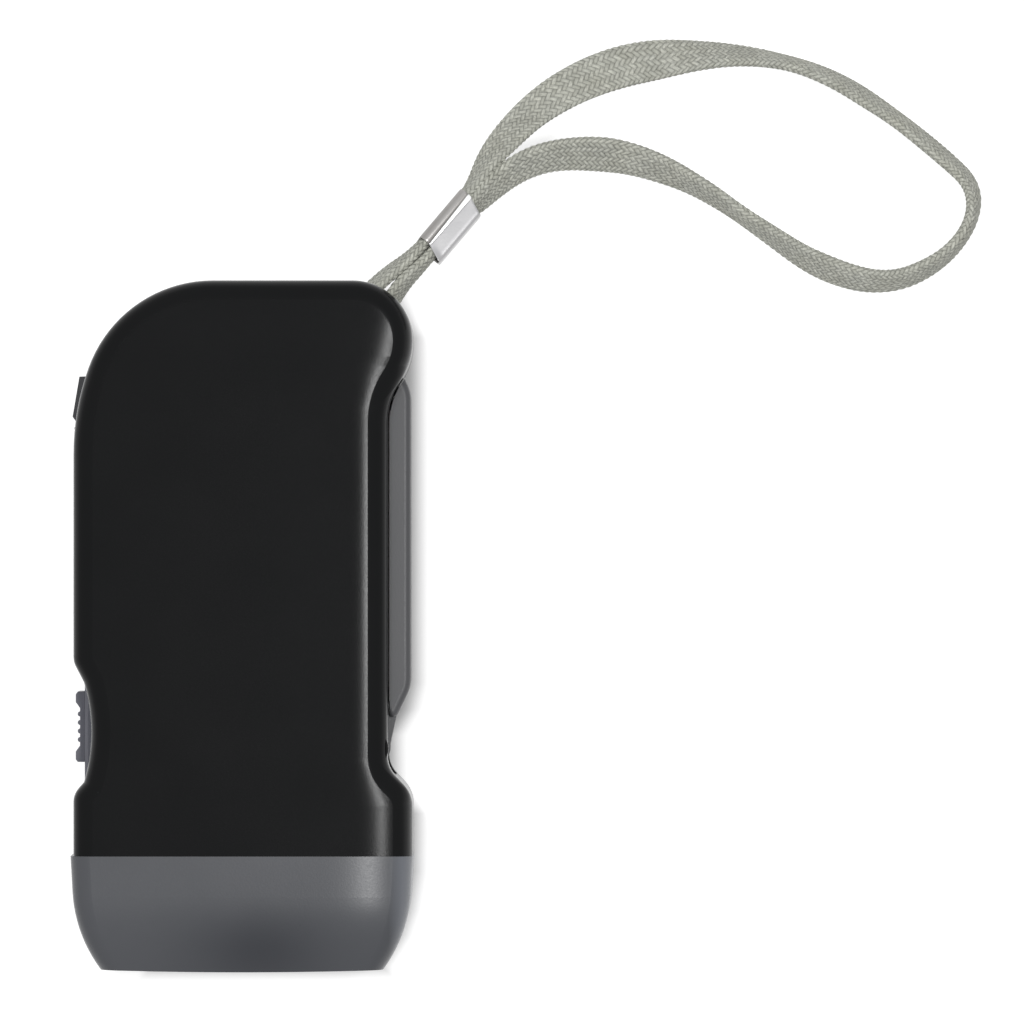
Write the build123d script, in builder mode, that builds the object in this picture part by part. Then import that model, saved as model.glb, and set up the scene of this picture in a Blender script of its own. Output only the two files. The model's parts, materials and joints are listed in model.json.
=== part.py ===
"""Squeeze-lever dynamo torch with a wrist strap.

The torch lies on its back: Z rises from the flat back to the front face, the beam
leaves towards -Y and the strap towards +Y. The origin is the middle of the back,
under the middle of the torch without its strap. All sizes are in millimetres.

Squeezing the lever swings it about a pin near the head. A toothed arc on the lever
drives a pinion, and two pairs of gears spin a ring magnet between the poles of a coil.
"""

import os
from math import acos, atan2, cos, degrees, pi, radians, sin, tan

from build123d import *

os.makedirs("parts", exist_ok=True)

# Case ---------------------------------------------------------------------------
thick = 28.0  # back to front
split_z = thick / 2  # the two shells part here
half_long = 52.4  # half the length of the torch
seam_y = -34.8  # the head cover meets the case here
wall = 1.8  # moulded wall
edge_r = 3.0  # rounding of the front edges
back_edge_r = 2.4  # rounding of the back edges
side_x = 25.5  # left side, from the middle
lobe_x = 25.9  # the two bulges beside the lever
neck_x = 22.1  # the flat that the lever closes on
neck_top_y, neck_low_y = 30.9, -21.4  # ends of that flat
lobe_r = 11.0  # the S-bend from the flat to the tail's bulge
lobe_low_y = -25.4  # the sides are straight from here to the head
lobe_bends = [5.0, 4.2]  # the S-bend from the flat to the lower bulge
crown_x = -4.4  # the tail edge is straight up to here
crown_r = 20.0  # rounding of the tail, left
cheek_y = 26.0  # the left side is straight from here to the waist
cheek_low_y = -5.4
waist_x = 23.9  # ends of the switch's waist
waist_top_y = -8.5
waist_low_y = -23.6
waist_bow = 1.1  # the waist's middle lies this much further in
waist_bend = 3.2
spigot_x = 23.4  # half width of the spigot inside the head cover
spigot_long = 3.4
spigot_z = 23.2  # its height
spigot_r = 3.4

# Lever and its arc of teeth -------------------------------------------------------
pivot = (19.0, -18.5)
hub_r = 3.4
hub_low, hub_top = 7.0, 21.0
grip_low, grip_top = 5.5, 22.5
grip_x = 25.6  # outer face of the grip
grip_back_x = 20.5  # the grip's block starts here, before the case's shape is taken from it
grip_top_y, grip_low_y = 38.6, -13.8
grip_wall = 1.5
grip_gap = 0.3  # between the grip and the case
channel_y, channel_long, channel_deep = 12.0, 36.0, 4.8  # the grip's hollow
rib_pitch, rib_thick, rib_high = 6.0, 1.2, 1.8  # ribs across it
pin_r = 1.5
pin_low, pin_long = 3.0, 22.0
run_gap = 0.05  # radial play of what turns on a pin
lever_module = 0.8
arc_teeth = 130  # a full ring would have these
pinion_teeth = 10
arc_back_r = 55.0  # outer edge of the toothed arc
arc_low, arc_top = 12.4, 15.6
arc_end = 137.0  # degrees, seen from the pivot
arc_root = 84.0  # where it leaves the grip
rack_spaces = 12
mesh_angle = 104.0  # direction from the pivot to the pinion
notch_at, notch_wide, notch_long = (-17.2, 18.2), 1.2, 4.0  # where the lock's catch drops in
spring_room = 5.6  # between the hub's two lugs

# Gear train ------------------------------------------------------------------------
train_module = 0.5
drive_teeth, idler_pinion_teeth = 36, 12
idler_teeth, rotor_pinion_teeth = 30, 12
idler_angle = 235.0  # direction from the drive gear to the idler
rotor_angle = 240.0  # direction from the idler to the rotor
pressure = radians(20)
addendum, dedendum = 0.8, 1.15  # in modules: stub teeth
tooth_share = 0.44  # of the pitch, so the teeth run with backlash
axle_r = 1.0
rotor_axle_r = 0.75
axle_low, axle_top = 3.0, 24.8
rotor_axle_low = 2.6
bearing_low = 22.4  # the front shell's bearing posts reach down to here
drive_low, drive_thick = 17.0, 2.0  # the drive gear, on top of its pinion

arc_r = lever_module * arc_teeth / 2
pinion_r = lever_module * pinion_teeth / 2


def polar(centre, radius, angle):
    """The point at a distance and an angle in degrees from a centre."""
    return (centre[0] + radius * cos(radians(angle)), centre[1] + radius * sin(radians(angle)))


drive_at = polar(pivot, arc_r - pinion_r, mesh_angle)
idler_at = polar(drive_at, train_module * (drive_teeth + idler_pinion_teeth) / 2, idler_angle)
rotor_at = polar(idler_at, train_module * (idler_teeth + rotor_pinion_teeth) / 2, rotor_angle)

# Dynamo ----------------------------------------------------------------------------
hub_core_r = 2.6  # the rotor's hub, under the magnet and the flywheel
magnet_r, magnet_low, magnet_top = 7.5, 5.5, 11.5
wheel_r, wheel_top = 10.4, 13.9
pole_gap = 0.6
yoke_low, yoke_top = 7.0, 10.0
yoke_bar = 3.4  # width of the yoke's arms and crossbar
coil_y = -10.4
bridge_low, bridge_top = 15.0, 16.2
drive_post_top, rotor_post_top = 9.4, 4.6

# Fasteners ---------------------------------------------------------------------------
boss_r = 4.0
screw_r = 1.25
screw_head_r = 2.4
screw_recess = 3.0
screw_spots = [(-12.0, 44.2), (11.0, 44.2), (-19.2, -28.8), (19.2, -28.8)]
screw_head_high = 1.6
bridge_posts = [(-18.6, 3.2), (9.2, 14.2), (-6.0, 23.0)]
bridge_post_r = 1.8
bridge_screw_r = 0.8

# Switch, lock ------------------------------------------------------------------------
switch_y = -15.35
knob_long = 10.7
knob_low, knob_top = 9.5, 18.5
switch_travel = 2.5
stem_long, stem_high = 3.7, 3.8  # the knob's stem, through the plate
plate_x = 22.1  # inner face of the plate that the knob slides on
plate_low, plate_top = 5.8, 22.2
lock_low, lock_top = 10.9, 17.1
lock_low_y, lock_top_y = 25.2, 38.0
lock_travel = 4.5
tongue_y, tongue_long, tongue_lip = 28.9, 11.0, 1.4  # the lock's guide tongue behind the wall
slide_play = 0.45  # at each end of a slide

# Cells -------------------------------------------------------------------------------
cell_r, cell_long, cell_gap = 5.8, 5.3, 0.2
cell_at = (2.0, -26.4, wall + cell_r)
cradle_x, cradle_top = 9.2, 10.8  # ribs beside the cells, under the board's posts

# Strap -------------------------------------------------------------------------------
lace_wide = 6.3
lace_thick = 1.3
post_at = (18.7, 47.0)
post_r = 1.5
lace_slot_angle = 46.0
lace_slot_long, lace_slot_wide, lace_slot_high = 11.4, 7.4, 8.8
lace_slot_out = 6.2  # its middle, from the post
ferrule_at = (31.3, 60.6)
ferrule_z = 11.9
strap_route = [
    (17.0, 48.9, 14.0),
    (21.3, 53.2, 14.0),
    (26.3, 56.2, 13.2),
    (34.9, 66.4, 10.9),
    (38.3, 72.8, 9.7),
    (45.4, 79.8, 8.4),
    (55.0, 84.7, 7.0),
    (66.0, 87.1, 5.6),
    (77.5, 87.5, 4.6),
    (88.5, 84.8, 3.9),
    (98.2, 78.4, 3.6),
    (107.2, 71.7, 3.5),
    (111.4, 67.4, 3.4),
    (111.6, 61.4, 3.4),
    (106.8, 55.7, 3.4),
    (98.2, 51.7, 3.5),
    (88.0, 54.3, 3.6),
    (78.6, 61.0, 4.1),
    (68.6, 67.7, 5.2),
    (58.6, 71.6, 6.6),
    (49.6, 72.3, 8.2),
    (42.6, 69.5, 9.6),
    (36.2, 65.1, 10.9),
    (27.8, 55.0, 13.2),
    (23.3, 50.4, 14.0),
    (20.6, 45.6, 14.0),
]


# Outlines used by more than one piece --------------------------------------------------
def case_plan():
    """Plan of the dark case: straight sides, a big rounded tail and the lever's flat."""
    across, down = side_x + crown_x, half_long - cheek_y
    cheek_r = (across**2 + down**2 - 2 * down * crown_r) / (2 * (across - crown_r))
    crown_turn = degrees(atan2(half_long - crown_r - cheek_y, cheek_r - across)) * -1 + 90
    bend = degrees(acos(1 - (lobe_x - neck_x) / (2 * lobe_r)))
    with BuildSketch() as plan:
        with BuildLine():
            side = [(lobe_x, seam_y), (lobe_x, lobe_low_y), (neck_x, neck_low_y), (neck_x, neck_top_y)]
            right = FilletPolyline(*side, radius=lobe_bends)
            rise = JernArc(right @ 1, (0, 1), lobe_r, -bend)
            bulge = JernArc(rise @ 1, rise % 1, lobe_r, bend)
            corner_r = half_long - (bulge @ 1).Y
            corner = JernArc(bulge @ 1, (0, 1), corner_r, 90)
            tail = Line(corner @ 1, (crown_x, half_long))
            crown = JernArc(tail @ 1, (-1, 0), crown_r, crown_turn)
            cheek = JernArc(crown @ 1, crown % 1, cheek_r, 90 - crown_turn)
            into_waist = [cheek @ 1, (-side_x, cheek_low_y), (-waist_x, waist_top_y)]
            left = FilletPolyline(*into_waist, radius=waist_bend)
            waist_mid = (waist_bow - waist_x, (waist_top_y + waist_low_y) / 2)
            waist = ThreePointArc(left @ 1, waist_mid, (-waist_x, waist_low_y))
            low = FilletPolyline(waist @ 1, (-side_x, lobe_low_y), (-side_x, seam_y), radius=waist_bend)
            Line(low @ 1, right @ 0)
        make_face()
    return plan.sketch


def arc_band(inner, outer, start, end):
    """A band of a ring round the lever's pivot, between two angles."""
    with BuildSketch() as band:
        with BuildLine():
            out = CenterArc(pivot, outer, start, end - start)
            back = CenterArc(pivot, inner, end, start - end)
            Line(out @ 1, back @ 0)
            Line(back @ 1, out @ 0)
        make_face()
    return band.sketch


def half_tooth(teeth, module, share, radius):
    """Half the angle that an involute tooth fills at a radius, in radians."""
    pitch_r = module * teeth / 2
    base_r = pitch_r * cos(pressure)
    slope = acos(base_r / max(radius, base_r))
    return share * pi / teeth + (tan(pressure) - pressure) - (tan(slope) - slope)


def tooth_side(teeth, module, share, radii, centre, middle, sign):
    """Points along one flank of a tooth whose middle is at an angle in radians."""
    angles = [middle + sign * half_tooth(teeth, module, share, r) for r in radii]
    return [(centre[0] + r * cos(a), centre[1] + r * sin(a)) for r, a in zip(radii, angles)]


def gear_plan(teeth, module, centre, phase):
    """Outline of a spur gear with a tooth at the angle `phase`, in degrees."""
    pitch_r = module * teeth / 2
    root_r, tip_r = pitch_r - dedendum * module, pitch_r + addendum * module
    radii = [root_r, pitch_r - 0.3 * module, pitch_r + 0.25 * module, tip_r]
    points = []
    for tooth in range(teeth):
        middle = radians(phase) + 2 * pi * tooth / teeth
        points += tooth_side(teeth, module, tooth_share, radii, centre, middle, -1)
        points += tooth_side(teeth, module, tooth_share, radii[::-1], centre, middle, 1)
    with BuildSketch() as plan:
        with BuildLine():
            Polyline(*points, close=True)
        make_face()
    return plan.sketch


def arc_space(middle):
    """One space between the teeth of the lever's arc, centred on an angle in degrees."""
    radii = [arc_r - 1.5 * addendum * lever_module, arc_r, arc_r + dedendum * lever_module]
    share = 1 - tooth_share
    points = tooth_side(arc_teeth, lever_module, share, radii, pivot, radians(middle), -1)
    points += tooth_side(arc_teeth, lever_module, share, radii[::-1], pivot, radians(middle), 1)
    with BuildSketch() as space:
        with BuildLine():
            Polyline(*points, close=True)
        make_face()
    return space.sketch


back_face = Plane((0, 0, 0), x_dir=(1, 0, 0), z_dir=(0, 0, -1))  # seen from behind, Y runs down
head_plane = Plane((0, seam_y, 0), x_dir=(1, 0, 0), z_dir=(0, -1, 0))  # faces the beam, Z runs up


def posts(spots, radius, low, high, mode=Mode.ADD):
    """Round posts between two heights, added to the part being made, or bores cut from it."""
    with BuildSketch(Plane.XY.offset(low)) as ends:
        with Locations(*spots):
            Circle(radius)
    extrude(ends.sketch, amount=high - low, mode=mode)


def blocks(spots, wide, deep, low, high, mode=Mode.ADD, turn=0):
    """Rectangular blocks between two heights, added to the part being made or cut from it."""
    with BuildSketch(Plane.XY.offset(low)) as ends:
        with Locations(*spots):
            Rectangle(wide, deep, rotation=turn)
    extrude(ends.sketch, amount=high - low, mode=mode)


# Shells --------------------------------------------------------------------------------
def round_rim(shell, face, radius):
    """Rounds a shell's outer rim, but not where the head cover meets it."""
    fillet(face.edges().filter_by_position(Axis.Y, seam_y + 0.1, half_long), radius)


def hollow(low, high):
    """Takes the room inside the walls, between two heights."""
    with BuildSketch(Plane.XY.offset(low)) as room:
        add(case_plan())
        offset(amount=-wall)
    extrude(room.sketch, amount=high - low, mode=Mode.SUBTRACT)


def make_spigot(keep):
    """Adds the shell's half of the hollow spigot that the head cover slides over."""
    with BuildSketch(head_plane) as outside:
        with Locations((0, split_z)):
            RectangleRounded(2 * spigot_x, spigot_z, spigot_r)
    extrude(outside.sketch, amount=spigot_long)
    with BuildSketch(head_plane.offset(-wall)) as inside:
        with Locations((0, split_z)):
            RectangleRounded(2 * (spigot_x - wall), spigot_z - 2 * wall, spigot_r - wall + 0.4)
    extrude(inside.sketch, amount=spigot_long + wall, mode=Mode.SUBTRACT)
    split(bisect_by=Plane.XY.offset(split_z), keep=keep)


def cut_openings():
    """Cuts the openings that both shells share across their seam."""
    # toothed arc, with the lever's hub and arm
    rack_slot = Plane.XY.offset(arc_low - 0.4) * arc_band(arc_r - 1.3, arc_back_r + 0.4, 78, 94)
    extrude(rack_slot, amount=arc_top - arc_low + 0.8, mode=Mode.SUBTRACT)
    blocks([(20.9, -16.0)], 5.4, 13.4, hub_low - grip_gap, hub_top + grip_gap, Mode.SUBTRACT)
    # lock: a window for its block, and a guide behind the wall for its tongue
    window_long = lock_top_y - lock_low_y + lock_travel + 2 * slide_play
    window_mid = (lock_top_y + lock_low_y - lock_travel) / 2
    blocks([(-24.4, window_mid)], 4.4, window_long, lock_low - 0.2, lock_top + 0.2, Mode.SUBTRACT)
    guide_long = tongue_long + lock_travel + 2 * slide_play
    guide_low, guide_top = lock_low - tongue_lip - 0.2, lock_top + tongue_lip + 0.2
    blocks([(-22.4, tongue_y - lock_travel / 2)], 2.4, guide_long, guide_low, guide_top, Mode.SUBTRACT)
    # switch: a seat for its plate, and a slot for the knob's stem
    waist_mid = (waist_top_y + waist_low_y) / 2
    seat_long = waist_top_y - waist_low_y - 0.2
    blocks([(-plate_x - 1.8, waist_mid)], 3.6, seat_long, plate_low, plate_top, Mode.SUBTRACT)
    blocks([(-22.0, stem_mid)], 4.0, stem_slot_long, *stem_slot_z, Mode.SUBTRACT)
    # lace
    slot_mid = polar(post_at, lace_slot_out, lace_slot_angle)
    slot_z = (split_z - lace_slot_high / 2, split_z + lace_slot_high / 2)
    blocks([slot_mid], lace_slot_long, lace_slot_wide, *slot_z, Mode.SUBTRACT, lace_slot_angle)


stem_mid = switch_y - switch_travel / 2
stem_slot_long = stem_long + switch_travel + 0.5
stem_slot_z = (split_z - stem_high / 2 - 0.3, split_z + stem_high / 2 + 0.3)

with BuildPart() as back_case:
    with BuildSketch():
        add(case_plan())
    extrude(amount=split_z)
    round_rim(back_case, back_case.faces().sort_by(Axis.Z)[0], back_edge_r)
    hollow(wall, split_z)
    make_spigot(Keep.BOTTOM)
    posts(screw_spots, boss_r, wall, split_z)
    posts(bridge_posts, bridge_post_r, wall, bridge_low)
    posts([drive_at], 2.6, wall, drive_post_top)
    posts([rotor_at], 2.2, wall, rotor_post_top)
    posts([pivot], hub_r - 0.2, wall, hub_low - grip_gap)
    # two ribs under the yoke, and two that cradle the cells
    blocks([(rotor_at[0] - 9.6, -3.0), (rotor_at[0] + 9.6, -3.0)], 1.4, 9.0, wall, yoke_low)
    cradles = [(cell_at[0] + side * cradle_x, cell_at[1]) for side in (-1, 1)]
    blocks(cradles, 1.2, 11.0, wall, cradle_top)
    cut_openings()
    posts([post_at], post_r, wall, split_z)
    # holes for the screws and pins
    with Locations(back_face):
        with Locations(*[(x, -y) for x, y in screw_spots]):
            CounterBoreHole(screw_r + 0.15, screw_head_r + 0.3, screw_recess, depth=split_z)
    posts([pivot], pin_r, pin_low, hub_low, Mode.SUBTRACT)
    posts([drive_at], axle_r, axle_low, drive_post_top, Mode.SUBTRACT)
    posts([rotor_at], rotor_axle_r, rotor_axle_low, rotor_post_top, Mode.SUBTRACT)
    posts(bridge_posts, bridge_screw_r, bridge_low - 6.0, bridge_low, Mode.SUBTRACT)

with BuildPart() as front_case:
    with BuildSketch(Plane.XY.offset(split_z)):
        add(case_plan())
    extrude(amount=thick - split_z)
    round_rim(front_case, front_case.faces().sort_by(Axis.Z)[-1], edge_r)
    inside_top = thick - wall
    hollow(split_z, inside_top)
    make_spigot(Keep.TOP)
    posts(screw_spots, boss_r - 1.0, split_z, inside_top)
    posts([drive_at, idler_at, rotor_at], 2.4, bearing_low, inside_top)
    posts([pivot], hub_r - 0.2, hub_top + grip_gap, inside_top)
    cut_openings()
    posts([post_at], post_r, split_z, inside_top)
    posts(screw_spots, screw_r, split_z, split_z + 8.5, Mode.SUBTRACT)
    posts([pivot], pin_r, hub_top, pin_low + pin_long, Mode.SUBTRACT)
    posts([drive_at, idler_at], axle_r, bearing_low, axle_top, Mode.SUBTRACT)
    posts([rotor_at], rotor_axle_r, bearing_low, axle_top, Mode.SUBTRACT)


with BuildPart() as case_screws:
    head_low = screw_recess - screw_head_high
    posts(screw_spots, screw_r, screw_recess, 21.5)
    posts(screw_spots, screw_head_r, head_low, screw_recess)
    for wide, deep in ((2.6, 0.6), (0.6, 2.6)):
        blocks(screw_spots, wide, deep, head_low, head_low + 0.8, Mode.SUBTRACT)

# Head ------------------------------------------------------------------------------------
hood_x = 25.95  # half width at the seam
hood_front_x = 21.4
hood_side_y = -40.2  # the sides curve in from here
hood_top_y = -41.0  # the front and back slope from here
hood_drop = 2.6  # by this much
hood_wall = 1.6
window_wide, window_high, window_r = 35.0, 15.0, 3.0
lens_rim = 1.8  # the lens and reflector reach this far behind the window's edge
led_pitch = 12.0
lens_flange = 1.2
hood_bow = 0.35  # the front edge bulges by this
window_y = -half_long + hood_wall + hood_bow  # flat behind the front wall, for the lens
board_y = seam_y - spigot_long  # the lamp board closes the spigot
board_thick = 1.6
reflector_deep = 8.2
reflector_y = window_y + lens_flange  # front of the reflector


def hood_plan(inset):
    """Plan of the head cover: sides that curve in towards the front edge."""
    with BuildSketch() as plan:
        with BuildLine():
            rear = Line((-hood_x, seam_y), (hood_x, seam_y))
            right = Line(rear @ 1, (hood_x - 0.3, hood_side_y))
            right_arc = TangentArc(right @ 1, (hood_front_x, hood_bow - half_long), tangent=right % 1)
            front = ThreePointArc(right_arc @ 1, (0, -half_long), (-hood_front_x, hood_bow - half_long))
            left = Line(rear @ 0, (0.3 - hood_x, hood_side_y))
            TangentArc(left @ 1, front @ 1, tangent=left % 1)
        make_face()
        offset(amount=-inset)
    return plan.sketch


def hood_side(inset):
    """Side view of the head cover: it thins a little towards the front."""
    with BuildSketch(Plane.YZ) as side:
        with BuildLine():
            rear = Line((seam_y + 1 - inset, inset), (seam_y + 1 - inset, thick - inset))
            top = Line(rear @ 1, (hood_top_y, thick - inset))
            top_arc = TangentArc(top @ 1, (-half_long - 1, thick - hood_drop - inset), tangent=(-1, 0))
            front = Line(top_arc @ 1, (-half_long - 1, hood_drop + inset))
            low = Line(rear @ 0, (hood_top_y, inset))
            TangentArc(low @ 1, front @ 1, tangent=(-1, 0))
        make_face()
    return side.sketch


with BuildPart() as hood_core:
    add(extrude(hood_plan(hood_wall), thick, mode=Mode.PRIVATE))
    add(extrude(hood_side(hood_wall), hood_x, both=True, mode=Mode.PRIVATE), mode=Mode.INTERSECT)

with BuildPart() as head_cover:
    add(extrude(hood_plan(0), thick, mode=Mode.PRIVATE))
    add(extrude(hood_side(0), hood_x + 1, both=True, mode=Mode.PRIVATE), mode=Mode.INTERSECT)
    long_edges = head_cover.edges().filter_by(lambda e: abs(e.center().X) > hood_front_x - 1)
    corners = long_edges.filter_by(lambda e: e.center().Z < 3 or e.center().Z > thick - 3)
    fillet(corners.filter_by(lambda e: e.center().Y < seam_y - 0.5), edge_r)
    add(hood_core.part, mode=Mode.SUBTRACT)
    with BuildSketch(head_plane):
        with Locations((0, split_z)):
            RectangleRounded(2 * spigot_x, spigot_z, spigot_r)
    extrude(amount=spigot_long, mode=Mode.SUBTRACT)
    with BuildSketch(head_plane.offset(half_long + seam_y - hood_wall - 1)):
        with Locations((0, split_z)):
            RectangleRounded(window_wide, window_high, window_r)
    extrude(amount=hood_wall + 2, mode=Mode.SUBTRACT)

with BuildPart() as lens:
    with BuildSketch(head_plane.offset(seam_y - reflector_y)):
        with Locations((0, split_z)):
            RectangleRounded(window_wide + 2 * lens_rim, window_high + 2 * lens_rim, window_r + 1)
    extrude(amount=lens_flange)
    with BuildSketch(head_plane.offset(seam_y - window_y)):
        with Locations((0, split_z)):
            RectangleRounded(window_wide - 0.1, window_high - 0.1, window_r - 0.05)
    extrude(amount=hood_wall)
    fillet(lens.faces().sort_by(Axis.Y)[0].edges(), 0.6)

cup_r, throat_r, cup_wall = 5.7, 2.75, 0.4
cup_mid = (4.4, 4.2)  # a point half way down the cup's curve
cups = [Plane((step * led_pitch, reflector_y, split_z)) for step in (-1, 0, 1)]


def cup(more):
    """Half section of a reflector cup, deepening along Y, bigger all round by a wall."""
    with BuildSketch() as half:
        with BuildLine():
            rim = Line((0, 0), (cup_r + more, 0))
            curve = ThreePointArc(rim @ 1, (cup_mid[0] + more, cup_mid[1]), (throat_r + more, reflector_deep))
            throat = Line(curve @ 1, (0, reflector_deep))
            Line(throat @ 1, rim @ 0)
        make_face()
    return half.sketch


with BuildPart() as reflector:
    with BuildSketch(head_plane.offset(seam_y - reflector_y)):
        with Locations((0, split_z)):
            RectangleRounded(window_wide + 2 * lens_rim, window_high + 2 * lens_rim, window_r + 1)
    extrude(amount=-1.2)
    for more, mode in ((cup_wall, Mode.ADD), (0, Mode.SUBTRACT)):
        for plane in cups:
            revolve(plane * cup(more), axis=Axis(plane.origin, (0, 1, 0)), mode=mode)

with BuildPart() as led_board:
    with BuildSketch(head_plane.offset(spigot_long)):
        with Locations((0, split_z)):
            RectangleRounded(2 * spigot_x - 1.4, spigot_z - 2.4, spigot_r - 1)
    extrude(amount=board_thick)
    lead_spots = [(step * led_pitch + lead, split_z) for step in (-1, 0, 1) for lead in (-1.27, 1.27)]
    with BuildSketch(head_plane.offset(spigot_long)):
        with Locations(*lead_spots):
            Circle(0.35)
    extrude(amount=board_thick, mode=Mode.SUBTRACT)

led_r, led_rim, led_body = 2.5, 0.35, 6.1  # a 5 mm lamp: body, its rim, length below the dome
with BuildPart() as leds:
    for step in (-1, 0, 1):
        lamp_plane = Plane((step * led_pitch, board_y - board_thick, split_z))
        with BuildSketch(lamp_plane):
            with BuildLine():
                seat = Line((0, 0), (led_r + led_rim, 0))
                flange = Polyline(seat @ 1, (led_r + led_rim, -1), (led_r, -1), (led_r, -led_body))
                dome_mid = polar((0, -led_body), led_r, -45)
                dome = ThreePointArc(flange @ 1, dome_mid, (0, -led_body - led_r))
                Line(dome @ 1, seat @ 0)
            make_face()
        revolve(axis=Axis(lamp_plane.origin, (0, 1, 0)))
    with BuildSketch(head_plane.offset(spigot_long + board_thick)):
        with Locations(*lead_spots):
            Rectangle(0.45, 0.45)
    extrude(amount=-board_thick - 1.6)

# Lever --------------------------------------------------------------------------------------
with BuildPart() as lever:
    # grip: a channel, open towards the case
    with BuildSketch(Plane.XY.offset(grip_low)):
        with BuildLine():
            outside = [(24.2, grip_top_y), (grip_x, 35.4), (grip_x, -9.2), (23.4, grip_low_y)]
            foot = [(22.0, grip_low_y), (grip_back_x, -9.0)]
            grip_edge = FilletPolyline(*outside, *foot, radius=[6, 6, 1, 1])
            Polyline(grip_edge @ 1, (grip_back_x, grip_top_y), grip_edge @ 0)
        make_face()
    extrude(amount=grip_top - grip_low)
    ends = lever.faces().filter_by(Axis.Z).edges()
    fillet(ends.filter_by(lambda e: e.center().X > 22.6 and e.center().Y < grip_top_y - 0.6), 1.0)
    with BuildSketch(Plane.XY.offset(grip_low)):
        offset(case_plan(), grip_gap)
    extrude(amount=grip_top - grip_low, mode=Mode.SUBTRACT)
    channel = (grip_low + grip_wall, grip_top - grip_wall)
    channel_x = grip_x - grip_wall - channel_deep / 2
    blocks([(channel_x, channel_y)], channel_deep, channel_long, *channel, Mode.SUBTRACT)
    ribs = [(23.6, channel_y + rib_pitch * step) for step in range(-2, 3)]
    blocks(ribs, rib_high, rib_thick, *channel)
    # arm down to the hub, and the hub
    with BuildSketch(Plane.XY.offset(hub_low)):
        with BuildLine():
            arm_out = [(22.3, -18.5), (23.35, grip_low_y), (24.2, -10.5)]
            arm_in = [(22.4, -8.6), (22.4, -11.2), (19.2, -15.6)]
            Polyline(*arm_out, *arm_in, close=True)
        make_face()
        with Locations(pivot):
            Circle(hub_r)
    extrude(amount=hub_top - hub_low)
    # the toothed arc, and the notch for the lock near its end
    with BuildSketch(Plane.XY.offset(arc_low)):
        add(arc_band(arc_r - addendum * lever_module, arc_back_r, arc_root, arc_end))
    extrude(amount=arc_top - arc_low)
    with BuildSketch(Plane.XY.offset(arc_low)):
        for tooth in range(rack_spaces):
            add(arc_space(mesh_angle + (tooth - 1) * 360 / arc_teeth))
    extrude(amount=arc_top - arc_low, mode=Mode.SUBTRACT)
    blocks([notch_at], notch_wide, notch_long, arc_low, arc_top, Mode.SUBTRACT)
    # room for the spring between two lugs, and the bore
    spring_floor = split_z - spring_room / 2
    posts([pivot], hub_r + 0.3, spring_floor, spring_floor + spring_room, Mode.SUBTRACT)
    posts([pivot], pin_r + run_gap, hub_low, hub_top, Mode.SUBTRACT)

with BuildPart() as lever_pin:
    posts([pivot], pin_r, pin_low, pin_low + pin_long)
    chamfer(lever_pin.edges(), 0.3)

with BuildPart() as lever_spring:
    spring_r, wire_r, turns, spring_pitch = 2.4, 0.35, 4, 1.0
    spring_start = (pivot[0], pivot[1], split_z - turns * spring_pitch / 2)
    with BuildLine(Plane(spring_start)):
        Helix(spring_pitch, turns * spring_pitch, spring_r)
    with BuildSketch(Plane(Vector(spring_start) + Vector(spring_r, 0, 0), z_dir=(0, 1, 0))):
        RegularPolygon(wire_r, 6)
    sweep()

# Gear train ------------------------------------------------------------------------------------
rotor_hub_low, rotor_pinion_low, rotor_top = 4.9, 14.0, 21.9
idler_low, idler_step, idler_top = 16.6, 19.7, 21.5  # the idler's pinion, then its gear
pocket_floor = drive_low + 0.8  # the drive gear's ratchet pocket
pocket_r, pawl_hub_r, pawl_bore_r = 7.4, 4.0, 3.0

with BuildPart() as drive_pinion:
    with BuildSketch(Plane.XY.offset(drive_post_top + 0.2)):
        add(gear_plan(pinion_teeth, lever_module, drive_at, mesh_angle))
    extrude(amount=drive_low - drive_post_top - 0.2)
    posts([drive_at], axle_r + run_gap, drive_post_top, drive_low, Mode.SUBTRACT)

with BuildPart() as drive_gear:
    with BuildSketch(Plane.XY.offset(drive_low)):
        add(gear_plan(drive_teeth, train_module, drive_at, idler_angle))
    extrude(amount=drive_thick)
    with BuildSketch(Plane.XY.offset(pocket_floor)):
        with Locations(drive_at):
            Circle(pocket_r)
            Circle(pawl_bore_r, mode=Mode.SUBTRACT)
    extrude(amount=drive_thick, mode=Mode.SUBTRACT)
    # the pocket's wall is a ratchet ring
    with BuildSketch(Plane.XY.offset(pocket_floor)):
        with Locations(drive_at):
            with PolarLocations(pocket_r - 0.2, 12):
                Triangle(a=1.2, b=1.2, c=1.2)
    extrude(amount=drive_low + drive_thick - pocket_floor)
    posts([drive_at], axle_r + run_gap, drive_low, drive_low + drive_thick, Mode.SUBTRACT)

with BuildPart() as ratchet_pawls:
    with BuildSketch(Plane.XY.offset(pocket_floor)):
        with Locations(drive_at):
            Circle(pawl_hub_r)
            Circle(pawl_bore_r, mode=Mode.SUBTRACT)
            with PolarLocations(5.0, 2, start_angle=20):
                Rectangle(3.4, 1.1)
    extrude(amount=1.1)

with BuildPart() as drive_axle:
    posts([drive_at], axle_r, axle_low, axle_top)

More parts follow.
